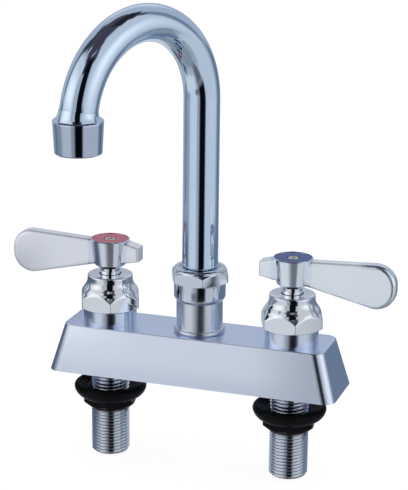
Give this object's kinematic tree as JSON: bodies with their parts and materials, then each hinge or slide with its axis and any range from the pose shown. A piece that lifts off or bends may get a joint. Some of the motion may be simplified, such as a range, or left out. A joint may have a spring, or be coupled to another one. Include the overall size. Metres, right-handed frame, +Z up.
{
  "type": "deck-mount faucet",
  "caption": "Deck-mount faucet with hot and cold lever valves on a low cast body, a swivelling gooseneck spout with an aerator, and threaded inlet shanks with clamping washers and nuts.",
  "frame": {"origin": "middle of the body's underside, on the sink deck, midway between the two inlet shanks", "axes": "+Z up, away from the deck; +X towards the cold valve; -Y towards the user"},
  "size_m": [0.2122, 0.1147, 0.2541],
  "materials": {
    "chrome_body": "satin chrome plate on the cast body",
    "chrome": "polished chrome plate",
    "chrome_lever": "polished chrome plate on the levers",
    "chrome_thread": "chrome plate over a cut thread",
    "brass": "machined, unplated",
    "steel": "plain stainless screw",
    "ceramic": "lapped alumina",
    "black_plastic": "moulded, semi-gloss black",
    "black_rubber": "moulded rubber",
    "white_plastic": "moulded acetal",
    "red_index": "translucent red",
    "blue_index": "translucent blue"
  },
  "bodies": {
    "body": {"deck_body": "chrome_body", "hot_inlet_shank": "chrome_thread", "hot_seat_seal": "black_rubber", "hot_fixed_disc": "ceramic", "hot_cartridge": "brass", "hot_bonnet": "chrome", "cold_inlet_shank": "chrome_thread", "cold_seat_seal": "black_rubber", "cold_fixed_disc": "ceramic", "cold_cartridge": "brass", "cold_bonnet": "chrome", "spout_post": "chrome", "spout_nut": "chrome", "thrust_washer": "white_plastic"},
    "hot_spindle": {"hot_moving_disc": "ceramic", "hot_stem": "chrome", "hot_stem_seals": "black_rubber", "hot_handle": "chrome_lever", "hot_index_ring": "red_index", "hot_handle_screw": "steel"},
    "hot_clamp": {"hot_mounting_washer": "black_plastic"},
    "hot_nut": {"hot_mounting_nut": "black_plastic"},
    "cold_spindle": {"cold_moving_disc": "ceramic", "cold_stem": "chrome", "cold_stem_seals": "black_rubber", "cold_handle": "chrome_lever", "cold_index_ring": "blue_index", "cold_handle_screw": "steel"},
    "cold_clamp": {"cold_mounting_washer": "black_plastic"},
    "cold_nut": {"cold_mounting_nut": "black_plastic"},
    "spout": {"spout_foot": "brass", "foot_seals": "black_rubber", "spout_tube": "chrome", "tip_collar": "chrome", "aerator_shell": "chrome", "aerator_insert": "white_plastic", "aerator_washer": "black_rubber"}
  },
  "joints": [
    {"name": "spout_swivel", "type": "hinge", "parent": "body", "child": "spout", "pos_m": [0, 0, 0.06], "axis": [0, 0, 1], "continuous": true},
    {"name": "hot_handle_turn", "type": "hinge", "parent": "body", "child": "hot_spindle", "pos_m": [-0.0508, 0, 0.056], "axis": [0, 0, 1], "range_deg": [0, 90]},
    {"name": "hot_washer_slide", "type": "slide", "parent": "body", "child": "hot_clamp", "axis": [0, 0, 1], "range_m": [-0.022, 0.0092]},
    {"name": "hot_nut_turn", "type": "hinge", "parent": "hot_clamp", "child": "hot_nut", "pos_m": [-0.0508, 0, -0.02], "axis": [0, 0, 1], "range_deg": [-4365.5, 1825.6]},
    {"name": "cold_handle_turn", "type": "hinge", "parent": "body", "child": "cold_spindle", "pos_m": [0.0508, 0, 0.056], "axis": [0, 0, 1], "range_deg": [-90, 0]},
    {"name": "cold_washer_slide", "type": "slide", "parent": "body", "child": "cold_clamp", "axis": [0, 0, 1], "range_m": [-0.022, 0.0092]},
    {"name": "cold_nut_turn", "type": "hinge", "parent": "cold_clamp", "child": "cold_nut", "pos_m": [0.0508, 0, -0.02], "axis": [0, 0, 1], "range_deg": [-4365.5, 1825.6]}
  ],
  "couplings": [
    {"joint": "hot_nut_turn", "follows": "hot_washer_slide", "rad_per_m": 3463.2},
    {"joint": "cold_nut_turn", "follows": "cold_washer_slide", "rad_per_m": 3463.2}
  ]
}
